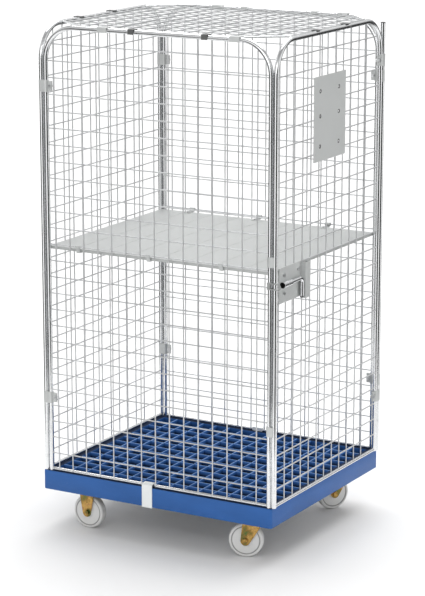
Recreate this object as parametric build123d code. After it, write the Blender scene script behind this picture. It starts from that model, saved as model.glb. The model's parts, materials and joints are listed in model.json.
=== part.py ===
from build123d import *
import math
import os

# Roll cage container with a mesh door, a hinged mesh lid and a fold-up shelf.
# Origin: floor level, under the middle of the overall footprint. +Z is up, the door
# closes the +X end and the long wall that carries the strike hoop is the -Y one.

# Driving dimensions, mm
deck_length = 815.0
deck_width = 724.0
deck_bottom = 125.0
deck_top = 186.0
deck_corner_radius = 10.0
# The latch stands further out than the closed end, so the deck sits a little to -X.
deck_centre_x = -14.0

rim_width = 27.0
rib_thickness = 4.0
deck_cells_x = 15
deck_cells_y = 13
spigot_radius = 5.9
spigot_depth = 36.0

tube_radius = 7.5
tube_wall = 1.5
tube_spacing = 16.5
bend_radius = 100.0
rail_radius = 5.0
bottom_rail_z = 192.0
top_rail_z = 1582.5
wire = 4.0
# The flat meshes stand for two layers of round wire. This is how far apart the layers are.
wire_layers = 3.6
wire_rows = 26
row_pitch = (top_rail_z - bottom_rail_z) / (wire_rows + 1)

long_wall_y = 349.0
left_wall_x = deck_centre_x - 399.5
long_wall_left_x = left_wall_x + tube_spacing
door_x = deck_centre_x + 409.0
long_wall_right_x = door_x - tube_spacing
door_hinge_y = long_wall_y - tube_spacing
door_leg_bottom = deck_top + 2.0

long_wall_wires = 15
long_wall_first_wire = deck_centre_x - 352.0
long_wall_pitch = 50.2
end_wall_wires = 11
end_wall_first_wire = -278.0
end_wall_pitch = 52.0

band_height = 36.0
band_thickness = 1.05
running_gap = 0.08
lower_band_row = 22
upper_band_row = 3
lower_strap_row = 23
upper_strap_row = 2
hinge_post_top = 1568.0
bolt_radius = 3.0

lid_z = 1587.2
lid_rod_radius = 3.0
lid_inset = 13.0
lid_chamfer_x = 125.0
lid_chamfer_y = 92.0
lid_gap = 0.4
lid_band_width = 34.0
lid_band_gaps = (3, 12)
lid_hook_gaps = (5, 10)
lid_cross_wires = 12
lid_first_cross_wire = -260.0
lid_cross_pitch = 47.5
lid_left_hook_gaps = (2, 6)
lid_right_rest_gaps = (3, 7)
lid_hook_width = 20.0
lid_sheet = 1.2

shelf_axis_z = top_rail_z - 13 * row_pitch
shelf_top = shelf_axis_z - 8.0
shelf_sheet = 1.5
shelf_lip = 9.0
shelf_rest_width = 12.0
shelf_front_y = -338.0
shelf_back_y = 335.0
shelf_left_x = left_wall_x + 12.0
shelf_right_x = door_x - 16.0
shelf_ring_gaps = (1, 6, 11)

wheel_radius = 54.0
wheel_width = 32.0
axle_radius = 5.0
castor_trail = 38.0
kingpin_radius = 6.0
fork_top = deck_bottom - 9.0
swivel_x = deck_centre_x + 322.0
swivel_y = 282.0
front_swivel_angle = 18.0
back_swivel_angle = 57.0
fixed_x = deck_centre_x - 275.0
fixed_y = 298.0
castor_plate = (104.0, 80.0, 3.0)
castor_bolt_spacing = (80.0, 60.0)

latch_z = 868.0
latch_rod_x = deck_centre_x + 423.0
latch_rod_radius = 6.0
latch_rod_tip_y = -316.0
latch_rod_bend_y = -206.0
latch_rod_grip_z = 808.0
latch_guide_y = (-329.0, -277.0)
latch_mouth_radius = 8.2
latch_mouth_depth = 12.0
latch_plate_y = (-332.0, -192.0)
latch_plate_z = (811.0, 917.0)
latch_plate_sheet = 2.5
latch_backing_sheet = 2.0
latch_bolts = [(-304.0, 893.0), (-304.0, 838.0), (-214.0, 895.0)]
latch_channel_y = (-196.0, -166.0)
latch_channel_z = (804.0, 912.0)
latch_channel_depth = 16.0

hoop_y = -359.0
hoop_rod_radius = 2.0
hoop_bend = 8.5
keeper_height = 30.0
keeper_thickness = 1.8
keeper_gap = 0.4
keeper_rows = (12, 22)

label_centre = (-14.5, 1325.0)
label_size = (207.0, 256.0, 1.5)
label_hole_y = (-78.0, 44.0)
label_hole_z = (1242.0, 1333.0, 1408.0)


def save(name, solids):
    """Writes one node, a single solid or a group of separate ones."""
    parts = list(solids) if isinstance(solids, (list, tuple)) else [solids]
    pieces = [one for part in parts for one in part.solids()]
    shape = pieces[0] if len(pieces) == 1 else Compound(children=pieces)
    export_step(shape, "parts/" + name + ".step")


def block(low, high):
    """A box between two opposite corners."""
    size = [b - a for a, b in zip(low, high)]
    middle = [(a + b) / 2 for a, b in zip(low, high)]
    return Pos(*middle) * Box(*size)


def rod(start, end, radius, bore=0.0):
    """A round bar, or a tube if it has a bore, between two points."""
    start, end = Vector(*start), Vector(*end)
    plane = Plane(origin=start, z_dir=(end - start).normalized())
    section = Circle(radius)
    if bore:
        section -= Circle(bore)
    return extrude(plane * section, amount=(end - start).length)


def bent_tube(points, radius=tube_radius, bore=tube_radius - tube_wall, bend=bend_radius):
    """A tube along straight runs joined by equal bends."""
    path = FilletPolyline(*points, radius=bend)
    section = Circle(radius)
    if bore:
        section -= Circle(bore)
    return sweep(Plane(origin=path @ 0, z_dir=path % 0) * section, path=path)


def hexagon_prism(centre, axis, across_flats, height, bore=0.0):
    """A nut, or a bolt head when it has no bore, standing from centre along axis."""
    section = RegularPolygon(across_flats / 2, 6, major_radius=False)
    if bore:
        section -= Circle(bore)
    return extrude(Plane(origin=centre, z_dir=axis) * section, amount=height)


def bolt_and_nut(start, axis, grip, radius):
    """A hexagon bolt whose head seats at start, and its nut beyond the grip."""
    direction = Vector(*axis)
    base = Vector(*start)
    head = hexagon_prism(base, direction * -1, radius * 3.2, radius * 1.3)
    tail = base + direction * (grip + radius * 2.2)
    shank = rod(tuple(base), tuple(tail), radius)
    nut = hexagon_prism(base + direction * grip, direction, radius * 3.2, radius * 1.6, radius)
    return [head + shank, nut]


def between_wires(gap):
    """X of the middle of a gap between two upright wires of the long walls."""
    return long_wall_first_wire + (gap + 0.5) * long_wall_pitch


def between_rows(row):
    """Height of the middle of the gap above a row of the walls' level wires."""
    return top_rail_z - (row + 0.5) * row_pitch


def wall_reach(distance):
    """How far the bent corner of a frame stays below its rail, at a distance from its leg."""
    if distance >= bend_radius:
        return 0.0
    return bend_radius - math.sqrt(bend_radius**2 - (bend_radius - distance) ** 2)


def wall_mesh(left, right, first, pitch, count):
    """The flat mesh between two legs as a sketch: across along X and up along Y."""
    seat = tube_radius - tube_wall / 2
    bars = []
    for i in range(count):
        across = first + i * pitch
        top = top_rail_z - wall_reach(min(across - left, right - across)) - seat
        bottom = bottom_rail_z + rail_radius - 1.0
        bars.append(Pos(across, (top + bottom) / 2) * Rectangle(wire, top - bottom))
    for i in range(wire_rows):
        height = top_rail_z - (i + 1) * row_pitch
        inset = wall_reach(top_rail_z - height) + seat
        middle, length = (left + right) / 2, right - left - 2 * inset
        bars.append(Pos(middle, height) * Rectangle(length, wire))
    return Sketch() + bars


def long_wall(side, name):
    """A long wall: inverted U frame, bottom rail and mesh. side is -1 front, 1 back."""
    y = side * long_wall_y
    left, right = long_wall_left_x, long_wall_right_x
    corners = [(left, y, deck_top), (left, y, top_rail_z), (right, y, top_rail_z), (right, y, deck_top)]
    save(name + "_wall_frame", bent_tube(corners))
    inset = tube_radius - 0.5
    ends = [(left + inset, y, bottom_rail_z), (right - inset, y, bottom_rail_z)]
    save(name + "_bottom_rail", rod(*ends, rail_radius))
    mesh = wall_mesh(left, right, long_wall_first_wire, long_wall_pitch, long_wall_wires)
    plane = Plane(origin=(0, y + wire / 2, 0), x_dir=(1, 0, 0), z_dir=(0, -1, 0))
    save(name + "_wall_mesh", extrude(plane * mesh, amount=wire))


def end_wall(x, low, high, leg_bottom, frame, rail, mesh_name):
    """An end wall, the fixed left one or the door leaf, between legs at y low and high."""
    corners = [(x, low, leg_bottom), (x, low, top_rail_z), (x, high, top_rail_z), (x, high, leg_bottom)]
    save(frame, bent_tube(corners))
    inset = tube_radius - 0.5
    save(rail, rod((x, low + inset, bottom_rail_z), (x, high - inset, bottom_rail_z), rail_radius))
    mesh = wall_mesh(low, high, end_wall_first_wire, end_wall_pitch, end_wall_wires)
    plane = Plane(origin=(x - wire / 2, 0, 0), x_dir=(0, 1, 0), z_dir=(1, 0, 0))
    save(mesh_name, extrude(plane * mesh, amount=wire))


def two_tube_band(first, second, z, loose_second):
    """A clamp band round two neighbouring tubes; the second turns in it if it is loose."""
    outer = tube_radius + band_thickness
    ends = [Pos(*first) * Circle(outer), Pos(*second) * Circle(outer)]
    band = make_hull([edge for end in ends for edge in end.edges()])
    band -= Pos(*first) * Circle(tube_radius)
    band -= Pos(*second) * Circle(tube_radius + (running_gap if loose_second else 0.0))
    return Pos(0, 0, z - band_height / 2) * extrude(band, amount=band_height)


def band_ear(leg, direction, z):
    """The bolted ear of a band, beyond the leg in the given direction, with its bolt."""
    length, thickness = 13.0, 5.0
    reach = tube_radius + 0.3
    across = Vector(*direction)
    normal = Vector(-across.Y, across.X, 0)
    centre = Vector(leg[0], leg[1], z) + across * (reach + length / 2)
    plane = Plane(origin=centre, x_dir=across, z_dir=normal)
    ear = extrude(plane * Rectangle(length, band_height - 6), amount=thickness / 2, both=True)
    ear -= rod(tuple(centre - normal * 5), tuple(centre + normal * 5), bolt_radius)
    seat = centre - normal * (thickness / 2)
    return ear, bolt_and_nut(tuple(seat), tuple(normal), thickness, bolt_radius)


def clamp_bands():
    """Bands that tie the fixed walls together, and the hinge straps of the door."""
    bands, bolts = [], []
    corners = [
        ((long_wall_left_x, -long_wall_y), (left_wall_x, -long_wall_y), (1, 0)),
        ((long_wall_left_x, long_wall_y), (left_wall_x, long_wall_y), (1, 0)),
        ((long_wall_right_x, long_wall_y), (door_x, long_wall_y), (-1, 0)),
    ]
    for leg, partner, direction in corners:
        for z in (between_rows(lower_band_row), between_rows(upper_band_row)):
            ear, fixing = band_ear(leg, direction, z)
            bands.append(two_tube_band(leg, partner, z, False) + ear)
            bolts += fixing
    save("corner_bands", bands)
    save("corner_band_bolts", bolts)
    straps, strap_bolts = [], []
    leg, post = (door_x, door_hinge_y), (door_x, long_wall_y)
    for z in (between_rows(lower_strap_row), between_rows(upper_strap_row)):
        ear, fixing = band_ear(leg, (0, -1), z)
        straps.append(two_tube_band(leg, post, z, True) + ear)
        strap_bolts += fixing
    save("hinge_straps", straps)
    save("hinge_strap_bolts", strap_bolts)


def hinge_post():
    """The fixed post that the door turns on, with a cap in its open top."""
    x, y, bore = door_x, long_wall_y, tube_radius - tube_wall
    save("hinge_post", rod((x, y, deck_top), (x, y, hinge_post_top), tube_radius, bore))
    cap = rod((x, y, hinge_post_top), (x, y, hinge_post_top + 2.0), tube_radius)
    cap += rod((x, y, hinge_post_top - 12.0), (x, y, hinge_post_top), bore)
    save("hinge_post_cap", cap)


def leg_places():
    """Where the six fixed wall legs stand on the deck."""
    long_legs = [(x, s * long_wall_y) for s in (-1, 1) for x in (long_wall_left_x, long_wall_right_x)]
    return long_legs + [(left_wall_x, s * long_wall_y) for s in (-1, 1)]


def castor_places():
    """Centre of each castor's mounting plate."""
    swivels = [(swivel_x, s * swivel_y) for s in (-1, 1)]
    return swivels + [(fixed_x, s * fixed_y) for s in (-1, 1)]


def bolt_places():
    """Where the castor bolts pass, four to each castor."""
    return [
        (x + sx * castor_bolt_spacing[0] / 2, y + sy * castor_bolt_spacing[1] / 2)
        for x, y in castor_places()
        for sx in (-1, 1)
        for sy in (-1, 1)
    ]


def deck_rim():
    """The deck's outer border: hollow from below, with a bore for each wall leg's spigot."""
    outline = RectangleRounded(deck_length, deck_width, deck_corner_radius)
    outline -= Rectangle(deck_length - 2 * rim_width, deck_width - 2 * rim_width)
    rim = Pos(deck_centre_x, 0, deck_bottom) * extrude(outline, amount=deck_top - deck_bottom)
    corner, skirt, flange = 60.0, 4.5, 6.0
    hollow = rim_width - skirt - rib_thickness
    long_run, short_run = deck_length / 2 - corner, deck_width / 2 - corner
    high = deck_top - flange
    cuts = []
    for side in (-1, 1):
        edge = side * (deck_width / 2 - skirt - hollow / 2)
        low = (deck_centre_x - long_run, edge - hollow / 2, deck_bottom)
        cuts.append(block(low, (deck_centre_x + long_run, edge + hollow / 2, high)))
        edge = deck_centre_x + side * (deck_length / 2 - skirt - hollow / 2)
        low = (edge - hollow / 2, -short_run, deck_bottom)
        cuts.append(block(low, (edge + hollow / 2, short_run, high)))
    for x, y in leg_places():
        cuts.append(rod((x, y, deck_top - spigot_depth), (x, y, deck_top + 1), spigot_radius))
    return rim - cuts


def deck_grid():
    """The crossing ribs inside the border."""
    inner_x, inner_y = deck_length - 2 * rim_width, deck_width - 2 * rim_width
    pitch_x, pitch_y = inner_x / deck_cells_x, inner_y / deck_cells_y
    ribs = []
    for i in range(1, deck_cells_x):
        ribs.append(Pos(i * pitch_x - inner_x / 2, 0) * Rectangle(rib_thickness, inner_y + 2))
    for i in range(1, deck_cells_y):
        ribs.append(Pos(0, i * pitch_y - inner_y / 2) * Rectangle(inner_x + 2, rib_thickness))
    return Pos(deck_centre_x, 0, deck_bottom) * extrude(Sketch() + ribs, amount=deck_top - deck_bottom)


def base_platform():
    """The moulded deck: an open rib grid in a hollow rim, with solid pads over the castors."""
    pad_x, pad_y, pad_top = 112.0, 86.0, 152.0
    pads = []
    for x, y in castor_places():
        low = (x - pad_x / 2, y - pad_y / 2, deck_bottom)
        pads.append(block(low, (x + pad_x / 2, y + pad_y / 2, pad_top)))
    deck = deck_rim() + [deck_grid()] + pads
    bores = [rod((x, y, deck_bottom - 1), (x, y, deck_bottom + 20), 4.0) for x, y in bolt_places()]
    save("base_platform", deck - bores)
    low, high = deck_top - spigot_depth, deck_top + 30.0
    save("leg_spigots", [rod((x, y, low), (x, y, high), spigot_radius) for x, y in leg_places()])


def hold_clips():
    """Sheet clips folded round the bottom rails and under the deck's edge."""
    edge, sheet = deck_width / 2, 2.0
    low, over = deck_bottom - sheet, bottom_rail_z + rail_radius + 0.5
    inner = long_wall_y - rail_radius
    profile = [
        (edge + sheet, low),
        (edge + sheet, over - 2.5),
        (edge - 3.0, over + sheet),
        (inner - sheet, over + sheet),
        (inner - sheet, over - 9.5),
        (inner, over - 9.5),
        (inner, over),
        (edge - 3.8, over),
        (edge, over - 3.3),
        (edge, deck_bottom),
        (edge - 12.0, deck_bottom),
        (edge - 12.0, low),
    ]
    middle = long_wall_first_wire + 6.5 * long_wall_pitch
    for side, name in ((-1, "front_hold_clip"), (1, "back_hold_clip")):
        outline = make_face(Polyline(*[(side * y, z) for y, z in profile], close=True))
        plane = Plane(origin=(middle, 0, 0), x_dir=(0, 1, 0), z_dir=(1, 0, 0))
        save(name, extrude(plane * outline, amount=18.0, both=True))


def strike_hoop():
    """The bent rod on the front wall's near leg, round which the latch rod is held."""
    leg_x = long_wall_right_x
    high, low = latch_z + hoop_bend, latch_z - hoop_bend
    far = latch_rod_x
    top = rod((leg_x - 5, hoop_y, high), (far, hoop_y, high), hoop_rod_radius)
    bottom = rod((leg_x - 5, hoop_y, low), (far, hoop_y, low), hoop_rod_radius)
    turn = Pos(far, hoop_y, latch_z) * Rot(90, 0, 0) * Torus(hoop_bend, hoop_rod_radius)
    turn &= block((far, hoop_y - 10, low - 10), (far + 30, hoop_y + 10, high + 10))
    lug_half = hoop_bend + hoop_rod_radius
    start = (leg_x - 5, hoop_y, latch_z - lug_half)
    lug = block(start, (leg_x + 5, -long_wall_y - tube_radius + 0.8, latch_z + lug_half))
    save("strike_hoop", top + bottom + turn + lug)


def door_keepers():
    """Cradles on the front wall's near leg, which the closing door's leg slides into."""
    leg, door_leg = (long_wall_right_x, -long_wall_y), (door_x, -long_wall_y)
    outer = tube_radius + keeper_thickness
    ends = [Pos(*leg) * Circle(outer), Pos(*door_leg) * Circle(outer)]
    cradle = make_hull([edge for end in ends for edge in end.edges()])
    cradle -= Pos(*leg) * Circle(tube_radius)
    cradle -= Pos(*door_leg) * Circle(tube_radius + keeper_gap)
    cradle -= Pos(door_x + 20, -long_wall_y) * Rectangle(40, 60)
    keeper = extrude(cradle, amount=keeper_height)
    heights = [between_rows(row) - keeper_height / 2 for row in keeper_rows]
    save("door_keepers", [Pos(0, 0, z) * keeper for z in heights])


def latch_plates():
    """The latch's plate outside the door mesh, its backing plate and their bolts."""
    outside, inside = door_x + wire / 2, door_x - wire / 2 - wire_layers
    face, back_face = outside + latch_plate_sheet, inside - latch_backing_sheet
    (low_y, high_y), (low_z, high_z) = latch_plate_y, latch_plate_z
    plate = block((outside, low_y, low_z), (face, high_y, high_z))
    back = block((back_face, low_y + 16, low_z + 12), (inside, high_y + 5, high_z - 5))
    bolts = []
    for y, z in latch_bolts:
        bore = rod((back_face - 1, y, z), (face + 1, y, z), bolt_radius)
        plate -= bore
        back -= bore
        bolts += bolt_and_nut((face, y, z), (-1, 0, 0), face - back_face, bolt_radius)
    save("latch_plate", plate)
    save("latch_backing_plate", back)
    save("latch_plate_bolts", bolts)
    return face


def latch():
    """The whole latch on the door: plates, guide tube, stop channel and the sliding rod."""
    face = latch_plates()
    guide_radius = latch_rod_x - face + 0.1
    ends = [(latch_rod_x, y, latch_z) for y in latch_guide_y]
    guide = rod(*ends, guide_radius, latch_rod_radius + running_gap)
    mouth = (latch_rod_x, latch_guide_y[0] + latch_mouth_depth, latch_z)
    save("latch_guide_tube", guide - rod(ends[0], mouth, latch_mouth_radius))
    outer, wall = face + latch_channel_depth, 2.0
    (low_y, high_y), (low_z, high_z) = latch_channel_y, latch_channel_z
    channel = block((face, low_y, low_z), (outer, high_y, high_z))
    channel -= block((face - 1, low_y + wall, low_z - 1), (outer - wall, high_y - wall, high_z + 1))
    save("latch_channel", channel)
    cap_top = latch_rod_grip_z + 4.0
    tip = (latch_rod_x, latch_rod_tip_y, latch_z)
    corner = (latch_rod_x, latch_rod_bend_y, latch_z)
    foot = (latch_rod_x, latch_rod_bend_y, cap_top)
    save("latch_rod", bent_tube([tip, corner, foot], latch_rod_radius, 0.0, 14.0))
    end = (latch_rod_x, latch_rod_bend_y, latch_rod_grip_z)
    save("latch_rod_cap", rod(foot, end, latch_rod_radius))


def label_plate():
    """The plain sheet for a route card, welded to the outside of the door mesh."""
    width, height, sheet = label_size
    profile = Pos(*label_centre) * RectangleRounded(width, height, 3.0)
    for y in label_hole_y:
        for z in label_hole_z:
            profile -= Pos(y, z) * Circle(3.5)
    plane = Plane(origin=(door_x + wire / 2, 0, 0), x_dir=(0, 1, 0), z_dir=(1, 0, 0))
    save("label_plate", extrude(plane * profile, amount=sheet))


def lid_outline():
    """The eight corners of the lid's edge rod."""
    low_x, high_x = left_wall_x + lid_inset, door_x - lid_inset
    low_y, high_y = -long_wall_y + lid_inset, long_wall_y - lid_inset
    return [
        (low_x + lid_chamfer_x, low_y),
        (high_x - lid_chamfer_x, low_y),
        (high_x, low_y + lid_chamfer_y),
        (high_x, high_y - lid_chamfer_y),
        (high_x - lid_chamfer_x, high_y),
        (low_x + lid_chamfer_x, high_y),
        (low_x, high_y - lid_chamfer_y),
        (low_x, low_y + lid_chamfer_y),
    ]


def between_cross_wires(gap):
    """Y of the middle of a gap between two of the lid's wires that run along X."""
    return lid_first_cross_wire + (gap + 0.5) * lid_cross_pitch


def lid_cut(distance, chamfer, other):
    """How far the chamfer cuts a lid wire short, at a distance from the side rod."""
    return max(0.0, (chamfer - distance) / chamfer * other)


def lid_panel():
    """The lid's edge rod and the mesh inside it."""
    corners = lid_outline()
    outer = make_face(Polyline(*corners, close=True))
    ring = offset(outer, lid_rod_radius) - offset(outer, -lid_rod_radius)
    save("lid_edge_rod", Pos(0, 0, lid_z - lid_rod_radius) * extrude(ring, amount=2 * lid_rod_radius))
    low_x, high_x = left_wall_x + lid_inset, door_x - lid_inset
    low_y, high_y = -long_wall_y + lid_inset, long_wall_y - lid_inset
    seat = lid_rod_radius - 1.0
    bars = []
    for i in range(long_wall_wires):
        x = long_wall_first_wire + i * long_wall_pitch
        cut = lid_cut(min(x - low_x, high_x - x), lid_chamfer_x, lid_chamfer_y)
        bars.append(Pos(x, 0) * Rectangle(wire, high_y - low_y - 2 * (cut + seat)))
    for i in range(lid_cross_wires):
        y = lid_first_cross_wire + i * lid_cross_pitch
        cut = lid_cut(min(y - low_y, high_y - y), lid_chamfer_y, lid_chamfer_x)
        bars.append(Pos((low_x + high_x) / 2, y) * Rectangle(high_x - low_x - 2 * (cut + seat), wire))
    mesh = Sketch() + bars
    save("lid_mesh", Pos(0, 0, lid_z - wire / 2) * extrude(mesh, amount=wire))


def across_profile(points, x, width):
    """A folded sheet drawn in Y and Z, as wide as given along X."""
    plane = Plane(origin=(x, 0, 0), x_dir=(0, 1, 0), z_dir=(1, 0, 0))
    return extrude(plane * make_face(Polyline(*points, close=True)), amount=width / 2, both=True)


def front_hook(x, width):
    """A folded sheet over the front rail and the lid's front rod."""
    rail, rim = -long_wall_y, -long_wall_y + lid_inset
    low, high = top_rail_z + tube_radius + lid_gap, top_rail_z + tube_radius + lid_gap + lid_sheet
    outer, inner = rail - tube_radius - 0.8, rim + lid_rod_radius - 0.2
    points = [
        (outer - lid_sheet, 1576.0),
        (outer - lid_sheet, high),
        (inner + lid_sheet, high),
        (inner + lid_sheet, 1583.0),
        (inner, 1583.0),
        (inner, low),
        (outer, low),
        (outer, 1576.0),
    ]
    return across_profile(points, x, width)


def back_knuckle(x, width):
    """A ring that turns on the back rail, with a tail over the lid's back rod."""
    rim = long_wall_y - lid_inset
    inner = tube_radius + running_gap
    ends = [(x + s * width / 2, long_wall_y, top_rail_z) for s in (-1, 1)]
    ring = rod(*ends, inner + lid_sheet)
    low, high = top_rail_z + inner, top_rail_z + inner + lid_sheet
    leg = rim - lid_rod_radius + 0.2
    tail = [
        (long_wall_y, high),
        (leg - lid_sheet, high),
        (leg - lid_sheet, 1583.0),
        (leg, 1583.0),
        (leg, low),
        (long_wall_y, low),
    ]
    knuckle = ring + across_profile(tail, x, width)
    return knuckle - rod(*ends, inner)


def side_hook(side, y, width):
    """A hook over the left rail, or a flat rest on the door's top rail."""
    rail = left_wall_x if side < 0 else door_x
    rim = rail - side * lid_inset
    low = top_rail_z + tube_radius + lid_gap
    high = low + lid_sheet
    outer = rail + side * (tube_radius + 0.8)
    inner = rim - side * (lid_rod_radius - 0.2)
    points = [(outer, low), (outer, high), (inner - side * lid_sheet, high)]
    points += [(inner - side * lid_sheet, 1583.0), (inner, 1583.0), (inner, low)]
    if side < 0:
        far = outer + side * lid_sheet
        points = [(outer, low), (outer, 1576.0), (far, 1576.0), (far, high)] + points[2:]
    plane = Plane(origin=(0, y, 0), x_dir=(1, 0, 0), z_dir=(0, -1, 0))
    return extrude(plane * make_face(Polyline(*points, close=True)), amount=width / 2, both=True)


def lid_fittings():
    """Wide bands, the two hinge knuckles and the small hooks and rests of the lid."""
    band_x = [between_wires(i) for i in lid_band_gaps]
    hook_x = [between_wires(i) for i in lid_hook_gaps]
    save("lid_front_bands", [front_hook(x, lid_band_width) for x in band_x])
    knuckles = [back_knuckle(x, lid_band_width) for x in band_x]
    save("lid_hinge_bands", knuckles + [back_knuckle(x, lid_hook_width) for x in hook_x])
    small = [front_hook(x, lid_hook_width) for x in hook_x]
    small += [side_hook(-1, between_cross_wires(i), lid_hook_width) for i in lid_left_hook_gaps]
    save("lid_hooks", small)
    rests = [side_hook(1, between_cross_wires(i), lid_hook_width) for i in lid_right_rest_gaps]
    save("lid_door_rests", rests)


def shelf():
    """The fold-up shelf: pressed panel, hinge rings on a back wire, rests on a front wire."""
    low = shelf_top - shelf_sheet
    panel = block((shelf_left_x, shelf_front_y, low), (shelf_right_x, shelf_back_y, shelf_top))
    lip_low = shelf_top - shelf_lip
    for x in (shelf_left_x, shelf_right_x - shelf_sheet):
        panel += block((x, shelf_front_y, lip_low), (x + shelf_sheet, shelf_back_y, low))
    for y in (shelf_front_y, shelf_back_y - shelf_sheet):
        panel += block((shelf_left_x, y, lip_low), (shelf_right_x, y + shelf_sheet, low))
    creases, groove = 7, 4.0
    for i in range(1, creases + 1):
        x = shelf_left_x + (shelf_right_x - shelf_left_x) * i / (creases + 1)
        start = (x - groove / 2, shelf_front_y + 8, shelf_top - 0.5)
        panel -= block(start, (x + groove / 2, shelf_back_y - 8, shelf_top + 1))
    rings, fixings, rests = [], [], []
    width, bore, sheet = 18.0, 3.9, 1.5
    fixing_y = shelf_back_y - 14
    for gap in shelf_ring_gaps:
        x = between_wires(gap)
        ends = [(x + s * width / 2, long_wall_y, shelf_axis_z) for s in (-1, 1)]
        tail = [
            (shelf_back_y - 24, shelf_top),
            (shelf_back_y - 24, shelf_top + sheet),
            (long_wall_y - 6, shelf_top + sheet),
            (long_wall_y, shelf_axis_z - bore),
            (long_wall_y, shelf_axis_z - bore - sheet),
            (long_wall_y - 5, shelf_top),
        ]
        ring = rod(*ends, bore + sheet) + across_profile(tail, x, width) - rod(*ends, bore)
        ring -= rod((x, fixing_y, shelf_top - 1), (x, fixing_y, shelf_top + 5), bolt_radius)
        panel -= rod((x, fixing_y, low - 1), (x, fixing_y, shelf_top + 1), bolt_radius)
        rings.append(ring)
        seat = (x, fixing_y, shelf_top + sheet)
        fixings += bolt_and_nut(seat, (0, 0, -1), sheet + shelf_sheet, bolt_radius)
        rests.append(rest_bracket(x, shelf_rest_width, lip_low))
    save("shelf_panel", panel)
    save("shelf_hinge_rings", rings)
    save("shelf_hinge_bolts", fixings)
    save("shelf_rests", rests)


def rest_bracket(x, width, lip_low):
    """A bracket hung over a front wire, with a ledge under the shelf's front lip."""
    y, half, sheet = -long_wall_y, wire / 2, 1.8
    over = shelf_axis_z + half
    ledge_top = lip_low - 0.3
    points = [
        (y - half - sheet, shelf_axis_z - 6),
        (y - half - sheet, over + sheet),
        (y + half + sheet, over + sheet),
        (y + half + sheet, ledge_top),
        (shelf_front_y + 20, ledge_top),
        (shelf_front_y + 20, ledge_top - sheet),
        (y + half, ledge_top - sheet),
        (y + half, over),
        (y - half, over),
        (y - half, shelf_axis_z - 6),
    ]
    return across_profile(points, x, width)


def fork_leg(side, offset_x, top, inner):
    """One tapered leg of a castor fork, from the crown down round the axle."""
    axle_z, foot, sheet = wheel_radius, 15.0, 3.0
    outline = make_hull(
        (Pos(offset_x, axle_z) * Circle(foot)).edges()
        + (Pos(offset_x * 0.45, top - 5) * Rectangle(58.0 if offset_x else 50.0, 10.0)).edges()
    )
    outline -= Pos(offset_x, axle_z) * Circle(axle_radius)
    near = side * inner if side > 0 else -inner
    plane = Plane(origin=(0, near, 0), x_dir=(1, 0, 0), z_dir=(0, -1, 0))
    amount = -sheet * side
    return extrude(plane * outline, amount=amount)


def axle(offset_x):
    """The axle bolt through both fork legs, with its nut."""
    outer = wheel_width / 2 + 2.5 + 3.0
    return bolt_and_nut((offset_x, -outer, wheel_radius), (0, 1, 0), 2 * outer, axle_radius)


def wheel(offset_x):
    """A wheel with a grooved face round its hub, and the bush pressed into it."""
    half, bush_radius = wheel_width / 2, 8.0
    centre = (offset_x, 0, wheel_radius)
    profile = [
        (bush_radius, half + 1.5),
        (17.0, half + 1.5),
        (19.0, half - 2.0),
        (41.0, half - 2.0),
        (42.0, half - 3.5),
        (44.5, half - 3.5),
        (46.0, half - 1.5),
        (50.0, half - 2.5),
        (wheel_radius, half - 7.0),
    ]
    points = profile + [(r, -h) for r, h in reversed(profile)]
    outline = make_face(Polyline(*points, close=True))
    ring = revolve(Plane.XZ * outline, axis=Axis.Z)
    turned = Pos(*centre) * Rot(90, 0, 0) * ring
    length = half + 1.8
    ends = [(offset_x, s * length, wheel_radius) for s in (-1, 1)]
    bush = rod(*ends, bush_radius, axle_radius + running_gap)
    return turned, bush


def castor_top(swivel):
    """The mounting plate of a castor, with the upper race under a swivel one."""
    length, width, sheet = castor_plate
    plate = Pos(0, 0, deck_bottom - sheet / 2) * extrude(
        RectangleRounded(length, width, 8.0), amount=sheet / 2, both=True
    )
    for sx in (-1, 1):
        for sy in (-1, 1):
            x, y = sx * castor_bolt_spacing[0] / 2, sy * castor_bolt_spacing[1] / 2
            plate -= rod((x, y, deck_bottom - 5), (x, y, deck_bottom + 1), 4.0)
    if swivel:
        plate += rod((0, 0, deck_bottom - 8.6), (0, 0, deck_bottom - sheet), 30.0)
    return plate


def swivel_tops():
    """The plates and kingpins of the two swivel castors."""
    plate = castor_top(True) - rod((0, 0, deck_bottom - 10), (0, 0, deck_bottom + 1), kingpin_radius)
    pin = rod((0, 0, fork_top - 7.0), (0, 0, deck_bottom), kingpin_radius)
    pin += rod((0, 0, fork_top - 7.0), (0, 0, fork_top - 3.4), 11.0)
    places = [Pos(swivel_x, side * swivel_y, 0) for side in (-1, 1)]
    save("swivel_plates", [place * plate for place in places])
    save("kingpins", [place * pin for place in places])


def swivel_castor(name, side, angle):
    """The turning part of a swivel castor at its resting angle: fork, axle and wheel."""
    place = Pos(swivel_x, side * swivel_y, 0) * Rot(0, 0, angle)
    inner = wheel_width / 2 + 2.5
    fork = fork_leg(-1, -castor_trail, fork_top, inner) + fork_leg(1, -castor_trail, fork_top, inner)
    crown = Pos(-6, 0, 0) * Rectangle(64.0, 2 * (inner + 3.0))
    crown += Circle(28.0)
    fork += Pos(0, 0, fork_top - 3.0) * extrude(crown, amount=3.0)
    fork -= rod((0, 0, fork_top - 20), (0, 0, fork_top + 1), kingpin_radius + running_gap)
    save("swivel_fork_" + name, place * fork)
    save("swivel_axle_" + name, [place * piece for piece in axle(-castor_trail)])
    tread, bush = wheel(-castor_trail)
    save("wheel_" + name + "_right", place * tread)
    save("wheel_bush_" + name + "_right", place * bush)


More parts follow.
